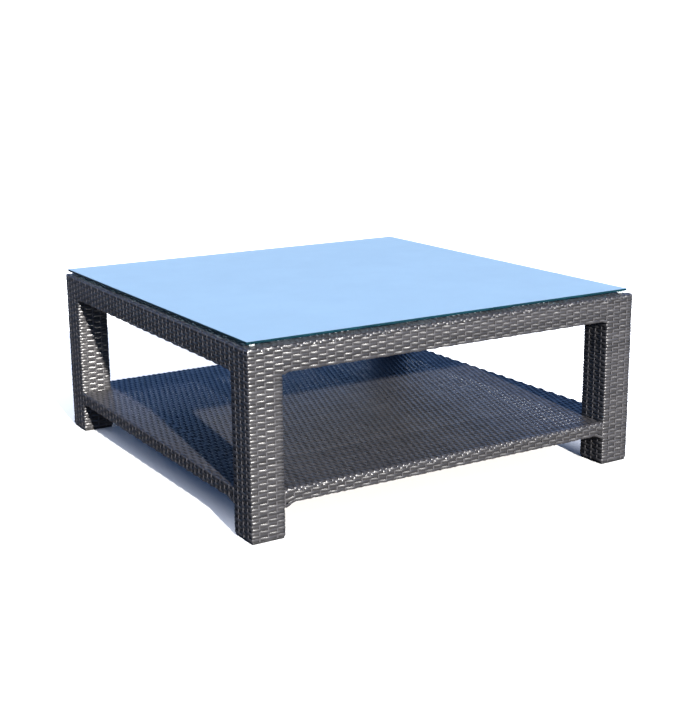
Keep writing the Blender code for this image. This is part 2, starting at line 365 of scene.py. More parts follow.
def ring_walk(reach, radius):
    """Return the length round a square with round corners, and a function from a distance along it
    to a point and heading. It starts at the left end of the front face and runs towards +X."""
    side = 2 * (reach - radius)
    bend = math.pi / 2 * radius
    lap = 4 * (side + bend)

    def at(distance):
        distance %= lap
        quarter = int(distance // (side + bend))
        along = distance - quarter * (side + bend)
        if along <= side:
            x, y, heading = -reach + radius + along, -reach, 0.0
        else:
            angle = (along - side) / radius
            x = reach - radius + radius * math.sin(angle)
            y = -reach + radius - radius * math.cos(angle)
            heading = angle
        turn = quarter * math.pi / 2
        point = Matrix.Rotation(turn, 2) @ Vector((x, y))
        return point, heading + turn

    return lap, at


def along_ring(stations, lift, sign, walk, lap, closed=True, bend_marks=()):
    """Strand round a leg: over and under at each station, in order, with extra points at bends."""
    path = []
    count = len(stations)
    last = count if closed else count - 1
    for index in range(last):
        first = stations[index]
        after = stations[(index + 1) % count]
        span = (after - first) % lap
        marks = {round(first + span * step / WAVE_STEPS, 6) for step in range(WAVE_STEPS)}
        for mark in bend_marks:
            ahead = (mark - first) % lap
            if 0 < ahead < span:
                marks.add(round(first + ahead, 6))
        kept = []
        for mark in sorted(marks):
            if not kept or mark - kept[-1] > SHORTEST_STEP:
                kept.append(mark)
        for mark in kept:
            height = sign * (-1) ** index * wave(mark - first, span, lift)
            path.append((mark, height))
    if closed:
        path.append((stations[0] + lap, path[0][1]))
    else:
        path.append((stations[-1], sign * (-1) ** last * lift))
    route = []
    for mark, height in path:
        point, heading = walk(mark)
        outward = Vector((math.sin(heading), -math.cos(heading)))
        place = point + outward * height
        route.append(((place.x, place.y, 0), heading))
    return route


# --- Materials -------------------------------------------------------------------------------

def new_material(name, colour, roughness, metallic=0.0, **sockets):
    """A Principled material with its even values set on the shader's own sockets."""
    material = bpy.data.materials.new(name)
    material.use_nodes = True
    shader = material.node_tree.nodes["Principled BSDF"]
    shader.inputs["Base Color"].default_value = (*colour, 1)
    shader.inputs["Roughness"].default_value = roughness
    shader.inputs["Metallic"].default_value = metallic
    for socket, value in sockets.items():
        shader.inputs[socket.replace("_", " ")].default_value = value
    return material, material.node_tree, shader


def node(tree, kind, **values):
    """Add a node and set its properties, then any inputs given by name."""
    made = tree.nodes.new(kind)
    for key, value in values.items():
        if hasattr(made, key):
            setattr(made, key, value)
        else:
            made.inputs[key.replace("_", " ")].default_value = value
    return made


def math_node(tree, operation, first, second=None):
    """A Math node whose inputs are links or numbers."""
    made = tree.nodes.new("ShaderNodeMath")
    made.operation = operation
    for slot, value in enumerate((first, second)):
        if value is None:
            continue
        if isinstance(value, (int, float)):
            made.inputs[slot].default_value = value
        else:
            tree.links.new(value, made.inputs[slot])
    return made.outputs[0]


def ramp(tree, factor, low, high, start=0.0, end=1.0):
    """A colour ramp between two colours."""
    made = tree.nodes.new("ShaderNodeValToRGB")
    made.color_ramp.elements[0].position = start
    made.color_ramp.elements[1].position = end
    made.color_ramp.elements[0].color = (*low, 1)
    made.color_ramp.elements[1].color = (*high, 1)
    tree.links.new(factor, made.inputs["Fac"])
    return made.outputs["Color"]


def scaled(colour, factor):
    """A colour made darker or lighter, and never past white."""
    return tuple(min(1.0, part * factor) for part in colour)


def wicker_material(name, colour):
    """Extruded synthetic strand: fine grain along it, each strand its own tone, satin sheen. The stakes
    are painted paler, a painted sheen along them.
    """
    material, tree, shader = new_material(name, colour, 0.40)
    shader.inputs["Specular IOR Level"].default_value = 0.9
    links = tree.links
    run = node(tree, "ShaderNodeUVMap", uv_map="run")
    parts = node(tree, "ShaderNodeSeparateXYZ")
    links.new(run.outputs["UV"], parts.inputs[0])
    row = math_node(tree, "FLOOR", parts.outputs["Y"])
    shade = node(tree, "ShaderNodeTexWhiteNoise", noise_dimensions="1D")
    links.new(row, shade.inputs["W"])

    stretched = node(tree, "ShaderNodeCombineXYZ")
    links.new(math_node(tree, "MULTIPLY", parts.outputs["X"], 18.0), stretched.inputs["X"])
    links.new(math_node(tree, "MULTIPLY", parts.outputs["Y"], 26.0), stretched.inputs["Y"])
    grain = node(tree, "ShaderNodeTexNoise", Scale=1.0, Detail=3.0, Roughness=0.6)
    links.new(stretched.outputs[0], grain.inputs["Vector"])

    drift_place = node(tree, "ShaderNodeTexCoord")
    drift = node(tree, "ShaderNodeTexNoise", Scale=9.0, Detail=4.0, Roughness=0.65)
    links.new(drift_place.outputs["Object"], drift.inputs["Vector"])

    mixed = math_node(tree, "ADD", math_node(tree, "MULTIPLY", shade.outputs["Value"], 0.40),
                      math_node(tree, "MULTIPLY", grain.outputs["Fac"], 0.35))
    mixed = math_node(tree, "ADD", mixed, math_node(tree, "MULTIPLY", drift.outputs["Fac"], 0.25))
    tint = ramp(tree, mixed, scaled(colour, 0.62), scaled(colour, 1.42), 0.22, 0.78)
    # Stakes painted paler: a painted sheen standing in for the light lines along them
    stake_painted_sheen = ramp(tree, mixed, scaled(colour, 1.6), scaled(colour, 2.7), 0.22, 0.78)
    stake = math_node(tree, "GREATER_THAN", row, STAKE_ROW - 1)
    pick = node(tree, "ShaderNodeMix", data_type="RGBA")
    links.new(stake, pick.inputs["Factor"])
    links.new(tint, pick.inputs["A"])
    links.new(stake_painted_sheen, pick.inputs["B"])
    links.new(pick.outputs["Result"], shader.inputs["Base Color"])

    rough = node(tree, "ShaderNodeMapRange", From_Min=0.3, From_Max=0.7, To_Min=0.31, To_Max=0.43)
    links.new(grain.outputs["Fac"], rough.inputs["Value"])
    links.new(rough.outputs[0], shader.inputs["Roughness"])
    bump = node(tree, "ShaderNodeBump", Strength=0.35, Distance=0.0002)
    links.new(grain.outputs["Fac"], bump.inputs["Height"])
    links.new(bump.outputs[0], shader.inputs["Normal"])
    return material


def powder_coat_material():
    """Dark powder coat with a fine orange peel."""
    colour = (0.045, 0.043, 0.042)
    material, tree, shader = new_material("dark powder coat", colour, 0.48)
    place = node(tree, "ShaderNodeTexCoord")
    peel = node(tree, "ShaderNodeTexNoise", Scale=900.0, Detail=2.0)
    cloud = node(tree, "ShaderNodeTexNoise", Scale=14.0, Detail=4.0)
    for texture in (peel, cloud):
        tree.links.new(place.outputs["Object"], texture.inputs["Vector"])
    tint = ramp(tree, cloud.outputs["Fac"], scaled(colour, 0.8), scaled(colour, 1.25), 0.35, 0.65)
    tree.links.new(tint, shader.inputs["Base Color"])
    bump = node(tree, "ShaderNodeBump", Strength=0.25, Distance=0.0001)
    tree.links.new(peel.outputs["Fac"], bump.inputs["Height"])
    tree.links.new(bump.outputs[0], shader.inputs["Normal"])
    return material


def foot_material():
    """Moulded black plastic, grained, scuffed paler low down."""
    colour = (0.012, 0.012, 0.013)
    material, tree, shader = new_material("moulded black plastic", colour, 0.55)
    place = node(tree, "ShaderNodeTexCoord")
    grain = node(tree, "ShaderNodeTexNoise", Scale=1400.0, Detail=3.0)
    scuff = node(tree, "ShaderNodeTexNoise", Scale=60.0, Detail=6.0, Roughness=0.7)
    for texture in (grain, scuff):
        tree.links.new(place.outputs["Object"], texture.inputs["Vector"])
    tint = ramp(tree, scuff.outputs["Fac"], colour, scaled(colour, 4.0), 0.52, 0.75)
    tree.links.new(tint, shader.inputs["Base Color"])
    rough = node(tree, "ShaderNodeMapRange", From_Min=0.3, From_Max=0.7, To_Min=0.45, To_Max=0.7)
    tree.links.new(scuff.outputs["Fac"], rough.inputs["Value"])
    tree.links.new(rough.outputs[0], shader.inputs["Roughness"])
    bump = node(tree, "ShaderNodeBump", Strength=0.4, Distance=0.0001)
    tree.links.new(grain.outputs["Fac"], bump.inputs["Height"])
    tree.links.new(bump.outputs[0], shader.inputs["Normal"])
    return material


def glass_material(tint):
    """Toughened glass whose pale blue colour is a painted reflection of the sky, through which the weave
    shows faintly.
    """
    material, tree, shader = new_material("pale blue glass", tint, 0.10)
    shader.inputs["Transmission Weight"].default_value = 0.30
    shader.inputs["IOR"].default_value = 1.5
    place = node(tree, "ShaderNodeTexCoord")
    haze = node(tree, "ShaderNodeTexNoise", Scale=6.0, Detail=5.0, Roughness=0.6)
    tree.links.new(place.outputs["Object"], haze.inputs["Vector"])
    rough = node(tree, "ShaderNodeMapRange", From_Min=0.35, From_Max=0.7, To_Min=0.08, To_Max=0.14)
    tree.links.new(haze.outputs["Fac"], rough.inputs["Value"])
    tree.links.new(rough.outputs[0], shader.inputs["Roughness"])
    # The painted sky reflection, varied a little at random
    cast = ramp(tree, haze.outputs["Fac"], scaled(tint, 0.985), scaled(tint, 1.015), 0.35, 0.65)
    tree.links.new(cast, shader.inputs["Base Color"])
    return material


def glass_edge_material(tint):
    """Ground and polished glass edge: deep green blue."""
    material, tree, shader = new_material("glass edge", tint, 0.18)
    place = node(tree, "ShaderNodeTexCoord")
    wash = node(tree, "ShaderNodeTexNoise", Scale=25.0, Detail=4.0)
    tree.links.new(place.outputs["Object"], wash.inputs["Vector"])
    cast = ramp(tree, wash.outputs["Fac"], scaled(tint, 0.75), scaled(tint, 1.5), 0.3, 0.7)
    tree.links.new(cast, shader.inputs["Base Color"])
    return material


def bumper_material():
    """Clear soft silicone, slightly milky."""
    colour = (0.80, 0.86, 0.86)
    material, tree, shader = new_material("clear silicone", colour, 0.25)
    shader.inputs["Transmission Weight"].default_value = 0.55
    shader.inputs["IOR"].default_value = 1.41
    place = node(tree, "ShaderNodeTexCoord")
    milk = node(tree, "ShaderNodeTexNoise", Scale=180.0, Detail=3.0)
    tree.links.new(place.outputs["Object"], milk.inputs["Vector"])
    cast = ramp(tree, milk.outputs["Fac"], scaled(colour, 0.9), colour, 0.3, 0.7)
    tree.links.new(cast, shader.inputs["Base Color"])
    return material


def finish_piece(piece, material, body, slot, *nodes):
    """Smooth a piece, give it its material and tell the frame what it rides on and replaces."""
    only(piece)
    bpy.ops.object.shade_smooth_by_angle(angle=SMOOTH_ANGLE)
    piece.data.materials.clear()
    piece.data.materials.append(material)
    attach(piece, body)
    if nodes:
        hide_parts(*nodes)


def wander(piece):
    """Let the strands stray a little, as hand weaving does. Neighbouring pieces stray alike."""
    texture = bpy.data.textures.get("strand wander")
    if texture is None:
        texture = bpy.data.textures.new("strand wander", "CLOUDS")
        texture.cloud_type = "COLOR"
        texture.noise_scale = WANDER_SIZE
        texture.noise_depth = 1
    apply_modifier(piece, "DISPLACE", texture=texture, direction="RGB_TO_XYZ",
                   strength=WANDER_REACH, mid_level=0.5)


def finish_weave(piece, *nodes):
    """Finish a woven piece."""
    wander(piece)
    finish_piece(piece, wicker(), BODY, "wicker", *nodes)


def shared(name, maker, *values):
    """Return a material by name, made the first time it is asked for."""
    found = bpy.data.materials.get(name)
    return found or maker(*values)


def wicker():
    """The one material of every woven piece."""
    settings = bpy.context.scene.table_weave
    return shared("woven strand", lambda: wicker_material("woven strand", settings.wicker_colour))


# --- Weave pieces ----------------------------------------------------------------------------

def skin_level(weave):
    """Distance from the tube's face to the middle of the weave."""
    return weave.lift + weave.strand_thickness / 2


def corner_walk(reach, radius):
    """Walk along the two outer faces of a leg and straight on past them, with the length measured
    from the middle of the outer corner's bend: back along the left face, forward along the front."""
    half_bend = math.pi / 4 * radius
    centre = Vector((-reach + radius, -reach + radius))

    def at(distance):
        if distance > half_bend:
            return centre + Vector((distance - half_bend, -radius)), 0.0
        if distance < -half_bend:
            return centre + Vector((-radius, -distance - half_bend)), -math.pi / 2
        heading = distance / radius - math.pi / 4
        return centre + radius * Vector((math.sin(heading), -math.cos(heading))), heading

    return half_bend, at


def leg_rows(weave, swap):
    """All strands of one leg, about the leg's own centre: rings below the apron, and above it one
    set across the two outer faces and one across the two inner faces."""
    edge = PLACE["leg_side"] / 2
    reach = edge - PLACE["skin"] + skin_level(weave)
    radius = weave.leg_corner
    lap, walk = ring_walk(reach, radius)
    side = 2 * (reach - radius)
    bend = math.pi / 2 * radius
    quarter = side + bend
    pitch = apron_stake_pitch(weave)
    face_start = -reach + radius
    front = [edge - pitch * step - face_start for step in (3, 2, 1)]
    inner = [side / 2 + pitch * step for step in (-1, 0, 1)]
    left = [side - place for place in reversed(front)]
    stations = (front + [quarter + place for place in inner] + [2 * quarter + place for place in inner]
                + [3 * quarter + place for place in left])
    bends = [corner * quarter + side + bend * step / BEND_STEPS
             for corner in range(4) for step in range(BEND_STEPS + 1)]
    half_bend, outer_walk = corner_walk(reach, radius)
    arm = [place + half_bend for place in front + [edge - face_start]]
    outer = [-place for place in reversed(arm)] + arm
    outer_bends = [half_bend * (2 * step / BEND_STEPS - 1) for step in range(BEND_STEPS + 1)]
    inside = stations[4:8]
    base = -1 if swap else 1
    rows_low = int((APRON_BOTTOM - PLACE["leg_foot"]) / weave.row_pitch)
    low_pitch = (APRON_BOTTOM - PLACE["leg_foot"]) / rows_low
    high_pitch = band_pitch(weave)
    rows_high = band_rows(weave)
    groups = []
    for parity in (0, 1):
        sign = base if parity == 0 else -base
        ring = lay_strip("ring", along_ring(stations, weave.lift, sign, walk, lap, True, bends),
                         weave.strand_width, weave.strand_thickness, True, shift=parity * SECOND_SET)
        turned(ring, Matrix.Translation((0, 0, APRON_BOTTOM - low_pitch * (0.5 + parity))))
        repeat(ring, (rows_low + 1 - parity) // 2, (0, 0, -2 * low_pitch))
        groups.append(ring)
        for name, route, way, marks in (("outer", outer, outer_walk, outer_bends),
                                        ("inside", inside, walk, bends)):
            strip = lay_strip(name, along_ring(route, weave.lift, -sign, way, 10 * lap, False, marks),
                              weave.strand_width, weave.strand_thickness,
                              shift=UPPER_SET + parity * SECOND_SET)
            turned(strip, Matrix.Translation((0, 0, APRON_BOTTOM + high_pitch * (0.5 + parity))))
            repeat(strip, rows_high // 2, (0, 0, 2 * high_pitch))
            groups.append(strip)
    for index, place in enumerate(stations):
        top = APRON_BOTTOM if index in (3, 8) else PLACE["top"] - PLACE["skin"]
        point, heading = walk(place)
        path = [((0, 0, 0), 0.0), ((top - PLACE["leg_foot"], 0, 0), 0.0)]
        stake = lay_strip("stake", path, weave.stake_width, weave.stake_thickness, shift=STAKE_ROW)
        upright = Matrix.Rotation(heading, 4, "Z") @ X_TO_Z
        turned(stake, Matrix.Translation((point.x, point.y, PLACE["leg_foot"])) @ upright)
        groups.append(stake)
    return groups


def apron_stake_pitch(weave):
    """Stake pitch that fits a whole, even number of spans between two legs."""
    return 2 * LEG_INNER / (2 * round(LEG_INNER / weave.stake_pitch))


def band_rows(weave):
    """Rows on the face of an apron, an even number."""
    return 2 * round((PLACE["top"] - APRON_BOTTOM) / weave.row_pitch / 2)


def band_pitch(weave):
    """Height of one row, from the bottom of an apron to the gap under the top weave."""
    return (PLACE["top"] - BAND_TOP_GAP - APRON_BOTTOM) / band_rows(weave)


class TABLE_OT_weave_legs(bpy.types.Operator):
    """Weave the skins of the four legs"""
    bl_idname = "table.weave_legs"
    bl_label = "Weave Legs"

    def execute(self, context):
        weave = context.scene.table_weave
        for name, turn in CORNERS:
            strips = leg_rows(weave, swap=turn % 180 != 0)
            leg = join(strips, "leg_weave_" + name)
            spin = Matrix.Rotation(math.radians(turn), 4, "Z")
            turned(leg, spin @ Matrix.Translation((-LEG_CENTRE, -LEG_CENTRE, 0)))
            finish_weave(leg, "leg_wicker_" + name)
        return {"FINISHED"}


def channel_rows(weave, bottom, top, face_rows, face_pitch, face_start, swap):
    """Strands and stakes round one rail: outer face, underside and inner face, in the front
    rail's place. Rows of even and odd number cross the stakes in opposite ways."""
    pitch = apron_stake_pitch(weave)
    level = skin_level(weave)
    outer = -(PLACE["rail_outer"] + level)
    inner = -(PLACE["rail_inner"] - level)
    under = bottom + PLACE["skin"] - level
    base = -1 if swap else 1
    under_pitch = (PLACE["rail_outer"] - PLACE["rail_inner"]) / UNDER_ROWS
    inner_rows = max(2, int((top - under) / face_pitch))
    inner_pitch = (top - under - INNER_GAPS) / inner_rows
    groups = []

    def add_rows(label, sign, level_y, matrix, first, step, count, shift):
        path = straight_wave(-LEG_INNER, LEG_INNER, pitch, weave.lift, -LEG_INNER, level_y, sign)
        strand = lay_strip(label, path, weave.strand_width, weave.strand_thickness, shift=shift)
        turned(strand, Matrix.Translation(first) @ matrix)
        repeat(strand, count, step)
        groups.append(strand)

    for parity in (0, 1):
        sign = base * (1 if parity == 0 else -1)
        add_rows("outer", sign, outer, Matrix.Identity(4),
                 (0, 0, face_start + face_pitch * (0.5 + parity)), (0, 0, 2 * face_pitch),
                 (face_rows + 1 - parity) // 2, parity * SECOND_SET)
        add_rows("under", -sign, 0, PLAN_TO_SIDE,
                 (0, -PLACE["rail_outer"] + under_pitch * (0.5 + parity), under),
                 (0, 2 * under_pitch, 0), UNDER_ROWS // 2, UPPER_SET + parity * SECOND_SET)
        add_rows("inner", sign, inner, Matrix.Identity(4),
                 (0, 0, under + INNER_BOTTOM_GAP + inner_pitch * (0.5 + parity)),
                 (0, 0, 2 * inner_pitch), (inner_rows + 1 - parity) // 2,
                 INNER_SET + parity * SECOND_SET)

    path = stake_hoop(outer, inner, under, top, HOOP_BEND)
    hoop = lay_strip("hoop", path, weave.stake_width, weave.stake_thickness, shift=STAKE_ROW)
    turned(hoop, Matrix.Translation((-LEG_INNER, 0, 0)) @ PLAN_TO_END)
    repeat(hoop, round(2 * LEG_INNER / pitch) + 1, (pitch, 0, 0))
    groups.append(hoop)
    return groups


def stake_hoop(outer, inner, under, top, radius):
    """Path of a stake down the outer face, under the rail and up the inner face, as (Y, Z)."""
    path = [((outer, top, 0), -math.pi / 2), ((outer, under + radius, 0), -math.pi / 2)]
    for step in range(1, BEND_STEPS + 1):
        angle = math.pi / 2 * step / BEND_STEPS
        across, down = radius - radius * math.cos(angle), radius - radius * math.sin(angle)
        path.append(((outer + across, under + down, 0), -math.pi / 2 + angle))
    path.append(((inner - radius, under, 0), 0.0))
    for step in range(1, BEND_STEPS + 1):
        angle = math.pi / 2 * step / BEND_STEPS
        across, up = radius * math.sin(angle), radius - radius * math.cos(angle)
        path.append(((inner - radius + across, under + up, 0), angle))
    path.append(((inner, top, 0), math.pi / 2))
    return path


def sag_ends(piece, bottom, drop, spread):
    """Draw the lower rows down into a small curve where they meet the legs."""
    end, low = LEG_INNER - END_REACH, bottom + LOW_REACH
    only(piece)
    bpy.ops.object.mode_set(mode="EDIT")
    select_in_edit(lambda vert: abs(vert.co.x) > end and vert.co.z < low, "verts")
    bpy.ops.transform.translate(value=(0, 0, -drop), use_proportional_edit=True,
                                proportional_edit_falloff="SMOOTH", proportional_size=spread)
    bpy.ops.object.mode_set(mode="OBJECT")


class TABLE_OT_weave_aprons(bpy.types.Operator):
    """Weave the skins round the four top rails"""
    bl_idname = "table.weave_aprons"
    bl_label = "Weave Aprons"

    def execute(self, context):
        weave = context.scene.table_weave
        for name, turn in SIDES:
            strips = channel_rows(weave, APRON_BOTTOM, PLACE["top"] - PLACE["skin"], band_rows(weave),
                                  band_pitch(weave), APRON_BOTTOM, swap=turn % 180 != 0)
            apron = join(strips, "apron_weave_" + name)
            sag_ends(apron, APRON_BOTTOM, APRON_DROP, APRON_DROP_SPREAD)
            turned(apron, Matrix.Rotation(math.radians(turn), 4, "Z"))
            finish_weave(apron, "apron_wicker_" + name)
        return {"FINISHED"}


class TABLE_OT_weave_shelf_edges(bpy.types.Operator):
    """Weave the skins round the four shelf rails"""
    bl_idname = "table.weave_shelf_edges"
    bl_label = "Weave Shelf Edges"

    def execute(self, context):
        weave = context.scene.table_weave
        for name, turn in SIDES:
            strips = channel_rows(weave, SHELF_BOTTOM, PLACE["shelf_top"] - PLACE["skin"],
                                  SHELF_EDGE_ROWS, SHELF_EDGE_PITCH, SHELF_BOTTOM + SHELF_EDGE_START,
                                  swap=turn % 180 != 0)
            edge = join(strips, "shelf_edge_weave_" + name)
            sag_ends(edge, SHELF_BOTTOM, SHELF_DROP, SHELF_DROP_SPREAD)
            turned(edge, Matrix.Rotation(math.radians(turn), 4, "Z"))
            finish_weave(edge, "shelf_edge_wicker_" + name)
        return {"FINISHED"}


def panel_level(weave):
    """Distance from the bars' face to the middle of a panel's weave."""
    return weave.panel_lift + weave.strand_thickness / 2


def bent_ends(path, flat, nose, levels):
    """Add a quarter bend down over the edge to both ends of a path that stops at -flat and flat.
    The two levels are the heights that the bends start from."""
    start, end = [], []
    for step in range(1, BEND_STEPS + 1):
        angle = math.pi / 2 * step / BEND_STEPS
        drop, run = nose * (1 - math.cos(angle)), nose * math.sin(angle)
        start.insert(0, ((-flat - run, levels[0] - drop, 0), angle))
        end.append(((flat + run, levels[1] - drop, 0), -angle))
    return start + path + end


def panel_strand(weave, reach, level, sign, nose, lift, shift):
    """One strand from front to back of a panel, its ends bent down over the edge when nose is set.
    A strand that rides over the last stake reaches a little further out than its neighbours."""
    pitch = weave.stake_pitch

    def height(along):
        return level + sign * wave(along - pitch / 2, pitch, lift)

    steps = round(2 * reach / pitch) * WAVE_STEPS
    flat = reach - nose
    path = []
    for step in range(steps + 1):
        along = -reach + 2 * reach * step / steps
        if abs(along) < flat - SHORTEST_STEP or (not nose and abs(along) <= flat):
            path.append(((along, height(along), 0), 0.0))
    if nose:
        levels = (height(-flat), height(flat))
        path = [((-flat, levels[0], 0), 0.0), *path, ((flat, levels[1], 0), 0.0)]
        path = bent_ends(path, flat, nose + (levels[1] - level), levels)
    strand = lay_strip("strand", path, weave.strand_width + PANEL_STRAND_EXTRA,
                       weave.strand_thickness, shift=shift)
    return turned(strand, PLAN_TO_END)


def panel_stake(weave, reach, level, nose, width, thickness):
    """One stake from left to right of a panel, bent down over both edges."""
    flat = reach - nose
    path = [((-flat, level, 0), 0.0), ((flat, level, 0), 0.0)]
    if nose:
        path = bent_ends(path, flat, nose, (level, level))
    stake = lay_strip("stake", path, width, thickness, shift=STAKE_ROW)
    return turned(stake, PLAN_TO_SIDE)


def spread(strip_maker, first, pitch, count, shift):
    """Lay count strips along X from first, made by strip_maker(sign, shift) with alternate signs."""
    groups = []
    for parity in (0, 1):
        strip = strip_maker(1 if parity == 0 else -1, shift + parity * SECOND_SET)
        turned(strip, Matrix.Translation((first + pitch * parity, 0, 0)))
        repeat(strip, (count + 1 - parity) // 2, (2 * pitch, 0, 0))
        groups.append(strip)
    return groups


class TABLE_OT_weave_top(bpy.types.Operator):
    """Weave the top panel under the glass, in a left and a right half"""
    bl_idname = "table.weave_top"
    bl_label = "Weave Top Panel"

    def execute(self, context):
        weave = context.scene.table_weave
        level = PLACE["top"] - PLACE["skin"] + panel_level(weave)
        reach = HALF - PLACE["skin"] + skin_level(weave)
        count = 2 * round(HALF / weave.row_pitch / 2 * PANEL_ROW_RATIO)
        pitch = reach / count

        def strand(sign, shift):
            return panel_strand(weave, reach, level, sign, weave.nose, weave.panel_lift, shift)

        left = spread(strand, -reach + pitch / 2, pitch, count, 0)
        right = spread(strand, pitch / 2, pitch, count, RIGHT_SET)
        stakes = panel_stake(weave, reach, level, weave.nose, TOP_STAKE_WIDTH, PANEL_STAKE_THICKNESS)
        stake_count = round(2 * reach / weave.stake_pitch)
        turned(stakes, Matrix.Translation((0, -weave.stake_pitch * (stake_count - 1) / 2, 0)))
        repeat(stakes, stake_count, (0, weave.stake_pitch, 0))
        finish_weave(join(left, "top_weave_left"), "top_weave_panel")
        finish_weave(join(right, "top_weave_right"), "top_weave_panel")
        finish_weave(join([stakes], "top_stakes"), "top_weave_panel")
        return {"FINISHED"}


class TABLE_OT_weave_shelf(bpy.types.Operator):
    """Weave the shelf panel round the four legs, in a left and a right half"""
    bl_idname = "table.weave_shelf"
    bl_label = "Weave Shelf Panel"

    def execute(self, context):
        weave = context.scene.table_weave
        level = PLACE["shelf_top"] - PLACE["skin"] + panel_level(weave)
        reach = HALF - PLACE["skin"] + skin_level(weave)
        count = 2 * round(LEG_INNER / weave.row_pitch / 2 * PANEL_ROW_RATIO)
        pitch = LEG_INNER / count
        side_count = round((reach - LEG_INNER) / pitch)
        side_pitch = (reach - LEG_INNER) / side_count

        def long_strand(sign, shift):
            return panel_strand(weave, reach, level, sign, weave.nose, weave.shelf_lift, shift)

        def short_strand(sign, shift):
            return panel_strand(weave, LEG_INNER - SHORT_STRAND_GAP, level, sign, 0, weave.shelf_lift,
                                shift)

        left = spread(long_strand, -LEG_INNER + pitch / 2, pitch, count, 0)
        left += spread(short_strand, -reach + side_pitch / 2, side_pitch, side_count, SIDE_SET)
        right = spread(long_strand, pitch / 2, pitch, count, RIGHT_SET)
        right += spread(short_strand, LEG_INNER + side_pitch / 2, side_pitch, side_count,
                        RIGHT_SIDE_SET)
        long_stake = panel_stake(weave, reach, level, weave.nose, SHELF_STAKE_WIDTH, PANEL_STAKE_THICKNESS)
        inner_count = 2 * int(LEG_INNER / weave.stake_pitch)
        turned(long_stake, Matrix.Translation((0, -weave.stake_pitch * (inner_count - 1) / 2, 0)))
        repeat(long_stake, inner_count, (0, weave.stake_pitch, 0))
        stakes = [long_stake]
        outer_count = round((2 * reach / weave.stake_pitch - inner_count) / 2)
        for end in (-1, 1):
            short = panel_stake(weave, LEG_INNER, level, 0, SHELF_STAKE_WIDTH,
                                PANEL_STAKE_THICKNESS)
            first = end * weave.stake_pitch * (inner_count + 1) / 2
            turned(short, Matrix.Translation((0, first, 0)))
            repeat(short, outer_count, (0, end * weave.stake_pitch, 0))
            stakes.append(short)
        finish_weave(join(left, "shelf_weave_left"), "shelf_weave_panel")
        finish_weave(join(right, "shelf_weave_right"), "shelf_weave_panel")
        finish_weave(join(stakes, "shelf_stakes"), "shelf_weave_panel")
        return {"FINISHED"}


# --- Glass, bumpers and feet -----------------------------------------------------------------

def box_between(name, low, high):
    """A block between two corners, left in edit mode."""
    start_clean()
    size = Vector(high) - Vector(low)
    middle = (Vector(high) + Vector(low)) / 2
    bpy.ops.mesh.primitive_cube_add(size=1, location=middle)
    block = bpy.context.object
    block.scale = size
    block.name = name
    apply_place(block)
    bpy.ops.object.mode_set(mode="EDIT")
    return block


def is_upright(edge):
    """Whether an edge runs up rather than round."""
    return abs(edge.verts[0].co.z - edge.verts[1].co.z) > NO_RISE


class TABLE_OT_glass(bpy.types.Operator):
    """Cut the glass sheet, round its corners and grind its edges"""
    bl_idname = "table.glass"
    bl_label = "Glass Sheet"

    def execute(self, context):
        settings = context.scene.table_glass
        low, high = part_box("glass_top")
        sheet = box_between("glass_sheet_top", low, high)
        select_in_edit(is_upright, "edges")
        bpy.ops.mesh.bevel(offset=settings.corner, segments=GLASS_CORNER_STEPS, affect="EDGES")
        select_in_edit(lambda edge: not is_upright(edge), "edges")
        bpy.ops.mesh.bevel(offset=settings.arris, segments=GLASS_ARRIS_STEPS, affect="EDGES")
        bpy.ops.mesh.select_all(action="SELECT")
        bpy.ops.mesh.normals_make_consistent(inside=False)
        bpy.ops.object.mode_set(mode="OBJECT")
        finish_piece(sheet, shared("pale blue glass", glass_material, settings.tint), GLASS_BODY,
                     "glass", "glass_top")
        sheet.data.materials.append(shared("glass edge", glass_edge_material, settings.edge_tint))
        for face in sheet.data.polygons:
            is_flat = abs(face.normal.z) > FLAT_FACE
            face.material_index = 0 if is_flat else 1
            face.use_smooth = not is_flat
        return {"FINISHED"}


class TABLE_OT_bumpers(bpy.types.Operator):
    """Turn the clear discs that hold the glass off the weave"""
    bl_idname = "table.bumpers"
    bl_label = "Glass Bumpers"

    def execute(self, context):
        for name, _ in CORNERS:
            low, high = (Vector(corner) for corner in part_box("glass_bumper_" + name))
            middle, radius = (low + high) / 2, (high.x - low.x) / 2
            start_clean()
            bpy.ops.mesh.primitive_cylinder_add(vertices=BUMPER_SIDES, radius=radius,
                                                depth=high.z - low.z, location=middle)
            bumper = bpy.context.object
            bumper.name = "bumper_" + name
            apply_place(bumper)
            bpy.ops.object.mode_set(mode="EDIT")
            select_in_edit(lambda face: face.normal.z > FACES_UP)
            bpy.ops.mesh.inset(thickness=BUMPER_RIM)
            bpy.ops.mesh.inset(thickness=BUMPER_GROOVE, depth=-BUMPER_GROOVE)
            select_in_edit(lambda edge: not is_upright(edge) and
                           (edge.verts[0].co.xy - middle.xy).length > radius - NO_LENGTH, "edges")
            bpy.ops.mesh.bevel(offset=BUMPER_ROUNDING, segments=BUMPER_ROUNDING_STEPS,
                               affect="EDGES")
            bpy.ops.object.mode_set(mode="OBJECT")
            finish_piece(bumper, shared("clear silicone", bumper_material), BODY, "clear_bumper",
                         "glass_bumper_" + name)
        return {"FINISHED"}


class TABLE_OT_frame_finish(bpy.types.Operator):
    """Powder coat the frame's tubes and give the foot caps their moulded grain"""
    bl_idname = "table.frame_finish"
    bl_label = "Frame and Feet"

    def execute(self, context):
        coat = shared("dark powder coat", powder_coat_material)
        plastic = shared("moulded black plastic", foot_material)
        for name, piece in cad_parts.items():
            material = None
            if name.startswith(("leg_post", "top_rail", "shelf_rail", "top_cross", "shelf_cross")):
                material = coat
            elif name.startswith("foot_cap"):
                material = plastic
            if material:
                piece.data.materials.clear()
                piece.data.materials.append(material)
        return {"FINISHED"}


# --- Stage -----------------------------------------------------------------------------------

